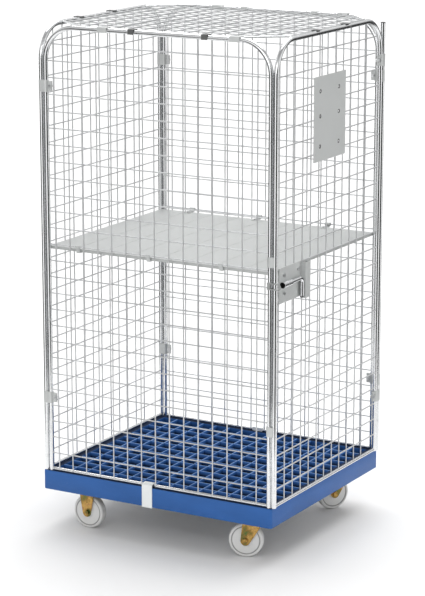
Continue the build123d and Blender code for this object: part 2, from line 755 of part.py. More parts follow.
def fixed_castor(name, side):
    """A fixed castor: pressed fork with its plate, axle and wheel."""
    place = Pos(fixed_x, side * fixed_y, 0)
    top = deck_bottom - castor_plate[2]
    inner = wheel_width / 2 + 2.5
    fork = castor_top(False) + fork_leg(-1, 0.0, top, inner) + fork_leg(1, 0.0, top, inner)
    save("fixed_fork_" + name, place * fork)
    tread, bush = wheel(0.0)
    save("wheel_" + name + "_left", place * tread)
    save("wheel_bush_" + name + "_left", place * bush)


def fixed_axles():
    """The axle bolts of the two fixed castors."""
    places = [Pos(fixed_x, side * fixed_y, 0) for side in (-1, 1)]
    save("fixed_axles", [place * piece for place in places for piece in axle(0.0)])


def castor_bolts():
    """Sixteen bolts that hold the castor plates to the deck's pads."""
    bolts = []
    under = deck_bottom - castor_plate[2]
    for x, y in bolt_places():
        head = hexagon_prism((x, y, under), (0, 0, -1), 13.0, 5.3)
        bolts.append(head + rod((x, y, under), (x, y, deck_bottom + 20), 4.0))
    save("castor_bolts", bolts)


def main():
    os.makedirs("parts", exist_ok=True)
    base_platform()
    castor_bolts()
    for name, side in (("front", -1), ("back", 1)):
        long_wall(side, name)
        fixed_castor(name, side)
    fixed_axles()
    swivel_tops()
    swivel_castor("front", -1, front_swivel_angle)
    swivel_castor("back", 1, back_swivel_angle)
    left_names = ("left_wall_frame", "left_bottom_rail", "left_wall_mesh")
    end_wall(left_wall_x, -long_wall_y, long_wall_y, deck_top, *left_names)
    door_names = ("door_frame", "door_bottom_rail", "door_mesh")
    end_wall(door_x, -long_wall_y, door_hinge_y, door_leg_bottom, *door_names)
    clamp_bands()
    hinge_post()
    hold_clips()
    strike_hoop()
    door_keepers()
    latch()
    label_plate()
    lid_panel()
    lid_fittings()
    shelf()


main()
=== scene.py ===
import json
import math

import bmesh
import bpy
from mathutils import Matrix, Vector


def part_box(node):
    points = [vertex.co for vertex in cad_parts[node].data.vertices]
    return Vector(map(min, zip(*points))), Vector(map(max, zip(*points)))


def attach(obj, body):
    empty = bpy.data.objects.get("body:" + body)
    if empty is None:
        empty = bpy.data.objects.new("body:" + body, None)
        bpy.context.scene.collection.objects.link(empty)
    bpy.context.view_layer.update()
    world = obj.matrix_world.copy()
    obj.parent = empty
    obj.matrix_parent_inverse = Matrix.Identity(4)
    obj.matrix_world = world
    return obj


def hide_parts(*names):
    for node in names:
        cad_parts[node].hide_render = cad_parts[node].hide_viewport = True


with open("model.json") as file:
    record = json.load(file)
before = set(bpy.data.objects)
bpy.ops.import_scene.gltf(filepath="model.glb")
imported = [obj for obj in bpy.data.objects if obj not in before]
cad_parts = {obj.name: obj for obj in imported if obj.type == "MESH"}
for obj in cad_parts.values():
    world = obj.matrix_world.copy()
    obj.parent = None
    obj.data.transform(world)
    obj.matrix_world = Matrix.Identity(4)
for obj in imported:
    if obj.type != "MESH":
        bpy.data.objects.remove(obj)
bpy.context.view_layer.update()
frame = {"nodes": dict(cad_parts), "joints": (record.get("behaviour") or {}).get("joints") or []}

bl_info = {
    "name": "Roll cage container",
    "version": (1, 0, 0),
    "blender": (4, 5, 0),
    "location": "View3D > Sidebar > Roll cage",
    "description": "Round wires, tubes, moulded deck, wheels and finishes of a roll cage container",
    "category": "Add Mesh",
}

MM = 0.001


# ---------------------------------------------------------------- sizes and colours


def length(name, description, default_mm):
    """A length property, given in millimetres and kept in metres."""
    size = default_mm * MM
    return bpy.props.FloatProperty(
        name=name, description=description, default=size, min=0.0, subtype="DISTANCE", unit="LENGTH"
    )


def colour(name, description, default):
    """A linear colour property."""
    return bpy.props.FloatVectorProperty(
        name=name, description=description, default=default, min=0.0, max=1.0, size=3, subtype="COLOR"
    )


def amount(name, description, default, subtype="NONE"):
    """A plain number property."""
    return bpy.props.FloatProperty(name=name, description=description, default=default, subtype=subtype)


def number(name, description, default):
    """A property that counts pieces."""
    return bpy.props.IntProperty(name=name, description=description, default=default, min=1)


class WireSizes(bpy.types.PropertyGroup):
    """The welded mesh of the walls and the lid."""

    radius: length("Wire radius", "Radius of the round mesh wires", 2.0)
    layers: length("Layer distance", "Distance between the layers of crossing wires", 3.6)
    long_first: length("Long wall margin", "From a long wall's left leg to its first wire", 31.0)
    long_pitch: length("Long wall pitch", "Distance between the upright wires of a long wall", 50.2)
    end_first: length("End wall margin", "From an end wall's front leg to its first wire", 71.0)
    end_pitch: length("End wall pitch", "Distance between the upright wires of an end wall", 52.0)
    rows: number("Rows", "Level wires in each wall", 26)
    long_count: number("Long wall uprights", "Upright wires in a long wall, and cross wires in the lid", 15)
    end_count: number("End wall uprights", "Upright wires in an end wall", 11)
    lid_count: number("Lid wires", "Wires along the lid", 12)
    lid_pitch: length("Lid pitch", "Distance between the wires along the lid", 47.5)
    lid_first: amount("Lid's first wire", "Where the first wire along the lid is", -260.0 * MM, "DISTANCE")


class TubeSizes(bpy.types.PropertyGroup):
    """The bent tubes round the walls and the bars at their feet."""

    radius: length("Tube radius", "Outer radius of the wall tubes", 7.5)
    wall: length("Tube wall", "Wall thickness of the wall tubes", 1.5)
    bend: length("Bend radius", "Radius of the tube bends at the top corners", 100.0)
    rail: length("Bottom rail radius", "Radius of the bar along the foot of each wall", 5.0)
    lid_rod: length("Lid rod radius", "Radius of the rod round the lid", 3.0)


class DeckLook(bpy.types.PropertyGroup):
    """The moulded deck."""

    rim: length("Rim width", "Width of the hollow border", 27.0)
    rib: length("Rib thickness", "Thickness of the crossing ribs near their top", 4.0)
    edge: length("Edge radius", "Rounding of the outer top edge", 3.0)
    cells_x: number("Cells along", "Cells along the deck", 15)
    cells_y: number("Cells across", "Cells across the deck", 13)
    plastic: colour("Plastic", "Colour of the moulded plastic", (0.028, 0.115, 0.360))


class MetalLook(bpy.types.PropertyGroup):
    """The zinc plated steel."""

    tube: colour("Tube", "Colour of the bright plated tube and wire", (0.86, 0.87, 0.88))
    sheet: colour("Sheet", "Colour of the satin plated sheet", (0.60, 0.615, 0.61))
    gold: colour("Castor gold", "Main colour of the yellow passivated forks", (0.30, 0.185, 0.055))
    green: colour("Castor green", "Second colour of the yellow passivated forks", (0.10, 0.16, 0.05))


class WheelLook(bpy.types.PropertyGroup):
    """The wheels."""

    plastic: colour("Wheel", "Colour of the cast wheels", (0.72, 0.72, 0.71))
    # The tread's dirt colour; a darker copy of it is painted into the wheel's groove as painted shade.
    grime_and_shade: colour("Tread grime", "Colour of the dirt rolled into the tread", (0.30, 0.30, 0.29))


class StageLook(bpy.types.PropertyGroup):
    """The floor, the lights and the camera."""

    floor: colour("Floor", "Colour of the studio floor", (0.82, 0.82, 0.82))
    key: amount("Key light", "Power of the front light", 35.0, "POWER")
    sun: amount("Top light", "Strength of the wide light overhead", 2.25)
    sun_spread: amount("Top light spread", "Angle the wide light comes from", math.radians(60.0), "ANGLE")
    sky: amount("Surround", "Strength of the pale surround", 0.80)
    lens: amount("Lens", "Focal length in mm", 143.8, "DISTANCE_CAMERA")
    azimuth: amount("Azimuth", "Camera heading", math.radians(29.73), "ANGLE")
    pitch: amount("Pitch", "How far the camera looks down", math.radians(13.235), "ANGLE")


# ---------------------------------------------------------------- finishes


class Value:
    """One socket of a finish, so that shader maths reads as plain expressions."""

    def __init__(self, finish, socket):
        self.finish = finish
        self.socket = socket

    def __add__(self, other):
        return self.finish.maths("ADD", self, other)

    def __sub__(self, other):
        return self.finish.maths("SUBTRACT", self, other)

    def __rsub__(self, other):
        return self.finish.maths("SUBTRACT", other, self)

    def __mul__(self, other):
        return self.finish.maths("MULTIPLY", self, other)

    def __abs__(self):
        return self.finish.maths("ABSOLUTE", self)

    __radd__ = __add__
    __rmul__ = __mul__


class Finish:
    """A node tree under construction, for a material or for the world."""

    def __init__(self, owner):
        owner.use_nodes = True
        self.owner = owner
        self.tree = owner.node_tree
        self.tree.nodes.clear()

    def node(self, kind, settings=None, values=None, output=0):
        """Adds a node: its settings first, then the values and links of its sockets."""
        node = self.tree.nodes.new(kind)
        for name, setting in (settings or {}).items():
            if name == "stops":
                ramp = node.color_ramp.elements
                while len(ramp) < len(setting):
                    ramp.new(0.5)
                for stop, (position, shade) in zip(ramp, setting):
                    stop.position = position
                    stop.color = (*shade, 1.0)
            else:
                setattr(node, name, setting)
        for name, value in (values or {}).items():
            socket = node.inputs[name]
            if isinstance(value, Value):
                self.tree.links.new(value.socket, socket)
            elif socket.type == "RGBA" and len(value) == 3:
                socket.default_value = (*value, 1.0)
            else:
                socket.default_value = value
        return Value(self, node.outputs[output]) if node.outputs else None

    def maths(self, operation, *values):
        """One Math node."""
        return self.node("ShaderNodeMath", {"operation": operation}, dict(enumerate(values)))

    def axes(self, spot):
        """The three parts of a vector."""
        return [self.node("ShaderNodeSeparateXYZ", None, {0: spot}, output=part) for part in "XYZ"]

    def place(self, stretch=(1.0, 1.0, 1.0)):
        """Object coordinates in metres, stretched if asked."""
        spot = self.node("ShaderNodeTexCoord", output="Object")
        if stretch == (1.0, 1.0, 1.0):
            return spot
        return self.node("ShaderNodeVectorMath", {"operation": "MULTIPLY"}, {0: spot, 1: stretch})

    def cloud(self, scale, detail=4.0, rough=0.5, stretch=(1.0, 1.0, 1.0)):
        """Soft noise from 0 to 1."""
        values = {"Vector": self.place(stretch), "Scale": scale, "Detail": detail, "Roughness": rough}
        return self.node("ShaderNodeTexNoise", {"noise_dimensions": "3D"}, values)

    def between(self, value, low, high, bottom=0.0, top=1.0):
        """A value spread from one span to another, and held inside it."""
        ends = {"Value": value, "From Min": low, "From Max": high, "To Min": bottom, "To Max": top}
        return self.node("ShaderNodeMapRange", {"clamp": True}, ends)

    def mix(self, factor, first, second):
        """A colour between two colours."""
        return self.node("ShaderNodeMix", {"data_type": "RGBA"}, {0: factor, 6: first, 7: second}, output=2)

    def bump(self, height, distance, strength=1.0):
        """A normal from a height."""
        values = {"Height": height, "Distance": distance, "Strength": strength}
        return self.node("ShaderNodeBump", None, values)

    def close(self, values):
        """Adds the surface shader with its values and links, and returns the material."""
        shader = self.node("ShaderNodeBsdfPrincipled", None, values)
        self.node("ShaderNodeOutputMaterial", None, {"Surface": shader})
        return self.owner


def darker(shade, amount):
    """A colour with its brightness multiplied."""
    return tuple(min(1.0, part * amount) for part in shade)


def bright_zinc(name, shade, dullness):
    """Bright plated tube and wire: cloudy tone, drawing lines and a few dull rubbed patches."""
    look = Finish(bpy.data.materials.new(name))
    cloud = look.cloud(7.0, 5.0)
    fine = look.cloud(260.0, 3.0)
    rubbed = look.between(look.cloud(23.0, 6.0, 0.65), 0.56, 0.72)
    tone = look.mix(look.between(cloud, 0.3, 0.7), darker(shade, 0.86), shade)
    tone = look.mix(rubbed * 0.45, tone, darker(shade, 0.72))
    rough = look.between(fine, 0.3, 0.7, dullness, dullness + 0.1) + rubbed * 0.16
    normal = look.bump(fine + look.cloud(38.0, 2.0) * 3.0, 0.00006, 0.3)
    return look.close({"Base Color": tone, "Roughness": rough, "Metallic": 1.0, "Normal": normal})


def drawn_wire(name, shade):
    """Plated mesh wire: an even grey with soft clouds and fine drawing lines."""
    look = Finish(bpy.data.materials.new(name))
    cloud = look.cloud(7.0, 5.0)
    fine = look.cloud(260.0, 3.0)
    tone = look.mix(look.between(cloud, 0.3, 0.7), darker(shade, 0.88), shade)
    rough = look.between(fine, 0.3, 0.7, 0.28, 0.38)
    normal = look.bump(fine, 0.00004, 0.3)
    return look.close({"Base Color": tone, "Roughness": rough, "Metallic": 0.75, "Normal": normal})


def satin_zinc(name, shade, dullness, grain):
    """Satin plated sheet: faint crystal flakes, rolling grain along one way and rubbed patches."""
    look = Finish(bpy.data.materials.new(name))
    cells = {"Vector": look.place(), "Scale": 170.0}
    flakes = look.node("ShaderNodeTexVoronoi", {"feature": "F1"}, cells, output="Color")
    flake = look.node("ShaderNodeSeparateColor", None, {0: flakes})
    lines = look.cloud(60.0, 3.0, 0.6, grain)
    cloud = look.cloud(5.0, 5.0, 0.6)
    tone = look.mix(look.between(cloud, 0.3, 0.7), darker(shade, 0.92), shade)
    tone = look.mix(flake * 0.10 + lines * 0.10, tone, darker(shade, 1.18))
    scuffs = look.between(look.cloud(31.0, 8.0, 0.7, (1.0, 1.0, 2.5)), 0.60, 0.74)
    tone = look.mix(scuffs * 0.35, tone, darker(shade, 0.70))
    rough = look.between(flake * 0.4 + lines * 0.6, 0.2, 0.8, dullness - 0.06, dullness + 0.08) + scuffs * 0.1
    normal = look.bump(lines + cloud * 4.0, 0.00025, 0.35)
    return look.close({"Base Color": tone, "Roughness": rough, "Metallic": 0.5, "Normal": normal})


def bored_zinc(name, shade):
    """Bright plated guide tube and rod tip, painted black inside the guide's bore as painted shade."""
    look = Finish(bpy.data.materials.new(name))
    low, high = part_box("latch_guide_tube")
    middle = (low + high) / 2
    x, _, z = look.axes(look.place())
    along, up = x - middle.x, z - middle.z
    reach = look.maths("SQRT", along * along + up * up)
    cloud = look.cloud(40.0, 4.0)
    # Painted shade: black, rough and not metallic within the bore's radius of the guide's axis.
    bore_shade = 1.0 - look.between(reach, 8.8 * MM, 9.1 * MM)
    tone = look.mix(look.between(cloud, 0.3, 0.7), darker(shade, 0.88), shade)
    tone = look.mix(bore_shade, tone, (0.006, 0.006, 0.006))
    rough = look.between(cloud, 0.3, 0.7, 0.20, 0.30) + bore_shade * 0.6
    normal = look.bump(cloud, 0.0001, 0.5)
    return look.close({"Base Color": tone, "Roughness": rough, "Metallic": 1.0 - bore_shade, "Normal": normal})


def yellow_zinc(name, gold, green):
    """Yellow passivated plating, which drifts from gold to green and pink."""
    look = Finish(bpy.data.materials.new(name))
    drift = look.cloud(34.0, 3.0, 0.55)
    stops = [(0.30, green), (0.44, gold), (0.55, darker(gold, 1.9)), (0.70, (0.30, 0.12, 0.09))]
    tone = look.node("ShaderNodeValToRGB", {"stops": stops}, {0: drift})
    dust = look.between(look.cloud(90.0, 6.0, 0.7), 0.55, 0.75)
    tone = look.mix(dust * 0.4, tone, darker(gold, 0.45))
    rough = look.between(look.cloud(210.0, 3.0), 0.3, 0.7, 0.24, 0.36) + dust * 0.2
    normal = look.bump(look.cloud(300.0, 2.0), 0.0001, 0.4)
    return look.close({"Base Color": tone, "Roughness": rough, "Metallic": 0.9, "Normal": normal})


def moulded_plastic(name, shade):
    """Moulded deck plastic: grain, flow marks and scuffs, with painted light and shade: cell walls lighter
    than the rim and darkening to painted shade deep down, pale rib tops that are partly wear and partly
    painted light, and a painted dark band of shade along the rim's top.
    """
    look = Finish(bpy.data.materials.new(name))
    low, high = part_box("base_platform")
    middle, half = (low + high) / 2, (high - low) / 2
    x, y, z = look.axes(look.place())
    inset = look.maths("MINIMUM", half.x - abs(x - middle.x), half.y - abs(y - middle.y))
    rim = bpy.context.scene.cage_deck.rim
    inside = look.between(inset, rim - 1.0 * MM, rim + 1.0 * MM)
    near_top = look.between(z, high.z - 1.1 * MM, high.z - 0.3 * MM)
    flow = look.cloud(6.0, 4.0, 0.55, (1.0, 1.0, 3.0))
    tone = look.mix(look.between(flow, 0.3, 0.7), darker(shade, 0.90), darker(shade, 1.08))
    scuffs = look.between(look.cloud(44.0, 9.0, 0.75, (1.0, 1.0, 4.0)), 0.60, 0.72)
    tone = look.mix(scuffs * 0.22, tone, tuple(0.65 * part + 0.15 for part in shade))
    # Painted light and shade in the cells: the cell walls are made lighter than the rim, then darkened to
    # near black towards their bottoms.
    deep = look.between(z, high.z - 2.0 * MM, high.z - 16.0 * MM)
    tone = look.mix(inside, tone, darker(shade, 1.25))
    tone = look.mix(inside * deep, tone, darker(shade, 0.02))
    # Pale rib tops: partly wear, partly painted light on the top faces, in patches.
    worn_and_lit = inside * near_top * look.between(look.cloud(19.0, 4.0), 0.25, 0.6, 0.55, 1.0)
    tone = look.mix(worn_and_lit, tone, (0.20, 0.36, 0.68))
    # Painted shade: the rim's top face, from a little inside its outer edge to the cells, is painted nearly
    # black.
    ledge = look.between(inset, 2.0 * MM, 4.0 * MM) * (1.0 - inside) * near_top
    tone = look.mix(ledge * 0.9, tone, darker(shade, 0.10))
    grain = look.cloud(1500.0, 2.0)
    rough = look.between(grain, 0.3, 0.7, 0.38, 0.48) + scuffs * 0.14 + ledge * 0.3 + inside * deep * 0.4
    normal = look.bump(grain + look.cloud(14.0, 2.0) * 6.0, 0.00012, 0.6)
    return look.close({"Base Color": tone, "Roughness": rough, "Normal": normal, "Specular IOR Level": 0.25})


# The label plate's holes: two columns about a middle line, and three rows.
LABEL_MIDDLE = -17.0 * MM
LABEL_HALF_GAP = 61.0 * MM
LABEL_ROWS = (1242.0 * MM, 1333.0 * MM, 1408.0 * MM)


def label_zinc(name, shade):
    """Plain satin sheet with painted shade in dark rings round the edges of its six holes."""
    look = Finish(bpy.data.materials.new(name))
    y, z = look.axes(look.place())[1:]
    across = abs(abs(y - LABEL_MIDDLE) - LABEL_HALF_GAP)
    low, middle, high = (abs(z - height) for height in LABEL_ROWS)
    up = look.maths("MINIMUM", middle, look.maths("MINIMUM", low, high))
    reach = look.maths("SQRT", across * across + up * up)
    cloud = look.cloud(5.0, 5.0, 0.6)
    lines = look.cloud(60.0, 3.0, 0.6, (1.0, 0.2, 5.0))
    tone = look.mix(look.between(cloud, 0.3, 0.7), darker(shade, 0.96), shade)
    tone = look.mix(lines * 0.08, tone, darker(shade, 1.15))
    # Painted shade: a dark ring round each hole, standing in for the shaded hole wall.
    ring = 1.0 - look.between(reach, 5.6 * MM, 7.2 * MM)
    tone = look.mix(ring * 0.95, tone, (0.03, 0.03, 0.03))
    rough = look.between(lines, 0.2, 0.8, 0.40, 0.50) + ring * 0.3
    normal = look.bump(lines + cloud * 4.0, 0.00018, 0.35)
    return look.close({"Base Color": tone, "Roughness": rough, "Metallic": 0.4, "Normal": normal})


def cast_wheel(name, shade, grime_and_shade):
    """Cast wheel plastic, a little dirty on the tread, with painted shade in the groove near it."""
    look = Finish(bpy.data.materials.new(name))
    reach = look.node("ShaderNodeAttribute", {"attribute_name": "reach"}, output="Fac")
    patches = look.cloud(55.0, 6.0, 0.65)
    tread = look.between(reach, 0.955, 0.99) * look.between(patches, 0.25, 0.65)
    # Painted shade: the groove near the tread is darkened with a darker copy of the tread's dirt colour.
    groove = look.between(reach, 0.765, 0.785) * (1.0 - look.between(reach, 0.825, 0.85))
    tone = look.mix(look.between(look.cloud(12.0, 3.0), 0.3, 0.7), darker(shade, 0.95), shade)
    tone = look.mix(tread * 0.55, tone, grime_and_shade)
    tone = look.mix(groove * 0.75, tone, darker(grime_and_shade, 0.55))
    rough = look.between(patches, 0.3, 0.7, 0.30, 0.42) + tread * 0.2
    normal = look.bump(patches, 0.00025, 0.35)
    return look.close({"Base Color": tone, "Roughness": rough, "Normal": normal})


def plain_plastic(name, shade, dullness):
    """Small plastic parts: caps and bushes."""
    look = Finish(bpy.data.materials.new(name))
    grain = look.cloud(500.0, 3.0)
    tone = look.mix(look.cloud(60.0, 4.0), darker(shade, 0.8), darker(shade, 1.15))
    rough = look.between(grain, 0.3, 0.7, dullness, dullness + 0.12)
    return look.close({"Base Color": tone, "Roughness": rough, "Normal": look.bump(grain, 0.0001, 0.4)})


def finish(kind):
    """The named finish, made the first time it is asked for."""
    found = bpy.data.materials.get(kind)
    if found:
        return found
    scene = bpy.context.scene
    tube, sheet = tuple(scene.cage_metal.tube), tuple(scene.cage_metal.sheet)
    gold, green = tuple(scene.cage_metal.gold), tuple(scene.cage_metal.green)
    upright, level = (0.15, 0.15, 4.0), (4.0, 0.15, 1.0)
    recipes = {
        "bright zinc": (bright_zinc, tube, 0.13),
        "plated bolts": (bright_zinc, darker(tube, 0.85), 0.24),
        "drawn wire": (drawn_wire, darker(tube, 0.82)),
        "satin zinc": (satin_zinc, sheet, 0.42, upright),
        "shelf zinc": (satin_zinc, darker(sheet, 0.88), 0.46, level),
        # The next three are copies of the satin sheet: a brighter one as painted light, then two darker ones
        # as painted shade.
        "pale zinc": (satin_zinc, darker(sheet, 1.50), 0.50, upright),
        "dull zinc": (satin_zinc, darker(sheet, 0.60), 0.38, upright),
        "dark zinc": (satin_zinc, darker(sheet, 0.22), 0.32, upright),
        "bored zinc": (bored_zinc, tube),
        "label zinc": (label_zinc, sheet),
        "yellow zinc": (yellow_zinc, gold, green),
        "moulded plastic": (moulded_plastic, tuple(scene.cage_deck.plastic)),
        "wheel plastic": (cast_wheel, tuple(scene.cage_wheel.plastic), tuple(scene.cage_wheel.grime_and_shade)),
        "bush plastic": (plain_plastic, (0.45, 0.45, 0.44), 0.4),
        "black plastic": (plain_plastic, (0.018, 0.018, 0.018), 0.38),
    }
    maker, *values = recipes[kind]
    return maker(kind, *values)


# ---------------------------------------------------------------- mesh building

SHARP_ANGLE = math.radians(38.0)
# Sides of the round sections.
TUBE_SIDES, RAIL_SIDES, ROD_SIDES, BAR_SIDES, WIRE_SIDES = 28, 20, 16, 24, 10
WHEEL_SEGMENTS = 72


def settle(name, body, mesh, kind, nodes):
    """Turns a bmesh into a smooth shaded piece that rides on a body and stands for CAD nodes."""
    bmesh.ops.recalc_face_normals(mesh, faces=mesh.faces)
    data = bpy.data.meshes.new(name)
    mesh.to_mesh(data)
    mesh.free()
    piece = bpy.data.objects.new(name, data)
    bpy.context.scene.collection.objects.link(piece)
    data.materials.append(finish(kind))
    data.shade_smooth()
    data.set_sharp_from_angle(angle=SHARP_ANGLE)
    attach(piece, body)
    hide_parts(*nodes)
    return piece


def dress(kind, *nodes):
    """Gives CAD nodes, whose shape stays, one of the finishes."""
    for name in nodes:
        data = frame["nodes"][name].data
        data.materials.clear()
        data.materials.append(finish(kind))


def rounded_path(points, bend, closed=False):
    """The centreline along straight runs, with a true arc at every corner."""
    fewest_steps, step_degrees = 4, 6
    points = [Vector(point) for point in points]
    count = len(points)
    path = []
    for i, corner in enumerate(points):
        if not closed and i in (0, count - 1):
            path.append(corner)
            continue
        back = (points[i - 1] - corner).normalized()
        ahead = (points[(i + 1) % count] - corner).normalized()
        half = back.angle(ahead) / 2
        inward = (back + ahead).normalized()
        centre = corner + inward * (bend / math.sin(half))
        turn = math.pi - 2 * half
        steps = max(fewest_steps, round(math.degrees(turn) / step_degrees))
        first = (corner + back * (bend / math.tan(half))) - centre
        axis = back.cross(ahead).normalized() * -1
        for k in range(steps + 1):
            path.append(centre + Matrix.Rotation(turn * k / steps, 3, axis) @ first)
    return path


def add_tube(mesh, path, radius, sides, closed=False, bore=0.0):
    """Sweeps a round section along a path. Open ends are capped, or show a short bore."""
    bore_depth, cap_size, cap_rise = 4 * radius, 0.86 * radius, 0.14 * radius
    count = len(path)
    rings = []
    side = None
    for i, point in enumerate(path):
        before = path[i - 1] if closed or i else path[i]
        after = path[(i + 1) % count] if closed or i < count - 1 else path[i]
        along = (after - before).normalized()
        if side is None:
            side = along.orthogonal().normalized()
        side = (side - along * side.dot(along)).normalized()
        other = along.cross(side)
        ring = []
        for k in range(sides):
            angle = 2 * math.pi * k / sides
            ring.append((side * math.cos(angle) + other * math.sin(angle), point, along))
        rings.append(ring)

    def row(ring, size, shift=0.0):
        return [mesh.verts.new(point + spoke * size + along * shift) for spoke, point, along in ring]

    def bridge(low, high):
        for k in range(sides):
            mesh.faces.new((low[k], low[(k + 1) % sides], high[(k + 1) % sides], high[k]))

    rows = [row(ring, radius) for ring in rings]
    for low, high in zip(rows, rows[1:]):
        bridge(low, high)
    if closed:
        bridge(rows[-1], rows[0])
        return
    for ring, last, way in ((rings[0], rows[0], 1.0), (rings[-1], rows[-1], -1.0)):
        if bore:
            lip = row(ring, bore)
            deep = row(ring, bore, way * bore_depth)
            bridge(last, lip)
            bridge(lip, deep)
            mesh.faces.new(deep)
        else:
            lip = row(ring, cap_size, -way * cap_rise)
            bridge(last, lip)
            mesh.faces.new(lip)


def add_bar(mesh, section, start, end):
    """Extrudes a flat outline, drawn across and upwards in metres, from start to end on a level."""
    start, end, up = Vector(start), Vector(end), Vector((0, 0, 1))
    across = (end - start).normalized().cross(up)
    rows = []
    for point in (start, end):
        rows.append([mesh.verts.new(point + across * a + up * b) for a, b in section])
    count = len(section)
    for k in range(count):
        mesh.faces.new((rows[0][k], rows[0][(k + 1) % count], rows[1][(k + 1) % count], rows[1][k]))
    for row in rows:
        mesh.faces.new(row)


def add_box(mesh, low, high):
    """A plain box between two corners."""
    wide, tall = high[0] - low[0], high[2] - low[2]
    section = [(0.0, 0.0), (wide, 0.0), (wide, tall), (0.0, tall)]
    add_bar(mesh, section, low, (low[0], high[1], low[2]))


def add_lathe(mesh, profile, centre, axis, segments, biggest):
    """Turns a closed profile of radius and height round an axis, and notes each point's reach."""
    centre, axis = Vector(centre), Vector(axis).normalized()
    side = axis.orthogonal().normalized()
    other = axis.cross(side)
    layer = mesh.verts.layers.float.new("reach")
    rings = []
    for radius, height in profile:
        ring = []
        for k in range(segments):
            angle = 2 * math.pi * k / segments
            spoke = side * math.cos(angle) + other * math.sin(angle)
            vert = mesh.verts.new(centre + spoke * radius + axis * height)
            vert[layer] = radius / biggest
            ring.append(vert)
        rings.append(ring)
    for low, high in zip(rings, rings[1:] + rings[:1]):
        for k in range(segments):
            mesh.faces.new((low[k], low[(k + 1) % segments], high[(k + 1) % segments], high[k]))


# ---------------------------------------------------------------- pieces


class Wall:
    """One wall's lines, read from its CAD frame and rail."""

    def __init__(self, frame_node, rail_node, outward):
        tubes = bpy.context.scene.cage_tubes
        low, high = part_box(frame_node)
        rail_low, rail_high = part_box(rail_node)
        self.long = (high - low).x > (high - low).y
        self.outward = outward
        middle = (low + high) / 2
        self.plane = middle.y if self.long else middle.x
        self.left = (low.x if self.long else low.y) + tubes.radius
        self.right = (high.x if self.long else high.y) - tubes.radius
        self.top = high.z - tubes.radius
        self.foot = low.z
        self.rail = (rail_low.z + rail_high.z) / 2

    def point(self, across, height, depth=0.0):
        off = self.plane + self.outward * depth
        return Vector((across, off, height)) if self.long else Vector((off, across, height))

    def reach(self, distance):
        """How far the bent corner keeps off its leg or rail at a distance from the other."""
        bend = bpy.context.scene.cage_tubes.bend
        if distance >= bend:
            return 0.0
        return bend - math.sqrt(bend**2 - (bend - distance) ** 2)


def build_wall(name, body, nodes, outward, first, pitch, count, columns_depth):
    """A wall's bent tube, foot rail and two layers of round wire. The ends sink into what holds them."""
    tubes, wires = bpy.context.scene.cage_tubes, bpy.context.scene.cage_wires
    rail_sink, wire_sink, top_sink, foot_sink = 0.5 * MM, 0.9 * MM, 2.0 * MM, 1.0 * MM
    wall = Wall(nodes[0], nodes[1], outward)
    mesh = bmesh.new()
    corners = [
        wall.point(wall.left, wall.foot),
        wall.point(wall.left, wall.top),
        wall.point(wall.right, wall.top),
        wall.point(wall.right, wall.foot),
    ]
    path, bore = rounded_path(corners, tubes.bend), tubes.radius - tubes.wall
    add_tube(mesh, path, tubes.radius, TUBE_SIDES, bore=bore)
    settle(name + "_tube", body, mesh, "bright zinc", [nodes[0]])
    mesh = bmesh.new()
    inset = tubes.radius - rail_sink
    ends = [wall.point(wall.left + inset, wall.rail), wall.point(wall.right - inset, wall.rail)]
    add_tube(mesh, ends, tubes.rail, RAIL_SIDES)
    settle(name + "_foot_rail", body, mesh, "bright zinc", [nodes[1]])
    mesh = bmesh.new()
    seat = tubes.radius - wire_sink
    for i in range(count):
        across = wall.left + first + i * pitch
        near = min(across - wall.left, wall.right - across)
        top = wall.top - wall.reach(near) - tubes.radius + top_sink
        ends = [wall.point(across, height, columns_depth) for height in (wall.rail - foot_sink, top)]
        add_tube(mesh, ends, wires.radius, WIRE_SIDES)
    spacing = (wall.top - wall.rail) / (wires.rows + 1)
    for i in range(wires.rows):
        height = wall.top - (i + 1) * spacing
        inset = wall.reach(wall.top - height) + seat
        ends = [wall.point(wall.left + inset, height), wall.point(wall.right - inset, height)]
        add_tube(mesh, ends, wires.radius, WIRE_SIDES)
    settle(name + "_wires", body, mesh, "drawn wire", [nodes[2]])


class CAGE_OT_walls(bpy.types.Operator):
    """Make the three fixed walls and the door from tube and round wire"""

    bl_idname = "cage.walls"
    bl_label = "Walls and door"

    def execute(self, context):
        wires = context.scene.cage_wires
        uprights = (wires.long_first, wires.long_pitch, wires.long_count)
        for name, outward, depth in (("front", -1.0, wires.layers), ("back", 1.0, -wires.layers)):
            nodes = (name + "_wall_frame", name + "_bottom_rail", name + "_wall_mesh")
            build_wall(name + "_wall", "chassis", nodes, outward, *uprights, depth)
        uprights = (wires.end_first, wires.end_pitch, wires.end_count)
        nodes = ("left_wall_frame", "left_bottom_rail", "left_wall_mesh")
        build_wall("left_wall", "chassis", nodes, -1.0, *uprights, wires.layers)
        nodes = ("door_frame", "door_bottom_rail", "door_mesh")
        build_wall("door", "door", nodes, 1.0, *uprights, -wires.layers)
        dress("bright zinc", "hinge_post")
        dress("black plastic", "hinge_post_cap")
        return {"FINISHED"}


def rim_row(mesh, low, high, inset, height):
    """A rounded rectangle of points round the deck at an inset and a height."""
    corner, sharpest, steps = 10.0 * MM, 0.6 * MM, 6
    radius = max(corner - inset, sharpest)
    row = []
    for i, (sx, sy) in enumerate(((1, 1), (-1, 1), (-1, -1), (1, -1))):
        edge_x = (high.x if sx > 0 else low.x) - sx * (inset + radius)
        edge_y = (high.y if sy > 0 else low.y) - sy * (inset + radius)
        for k in range(steps + 1):
            angle = math.pi / 2 * (i + k / steps)
            spot = (edge_x + radius * math.cos(angle), edge_y + radius * math.sin(angle), height)
            row.append(mesh.verts.new(spot))
    return row


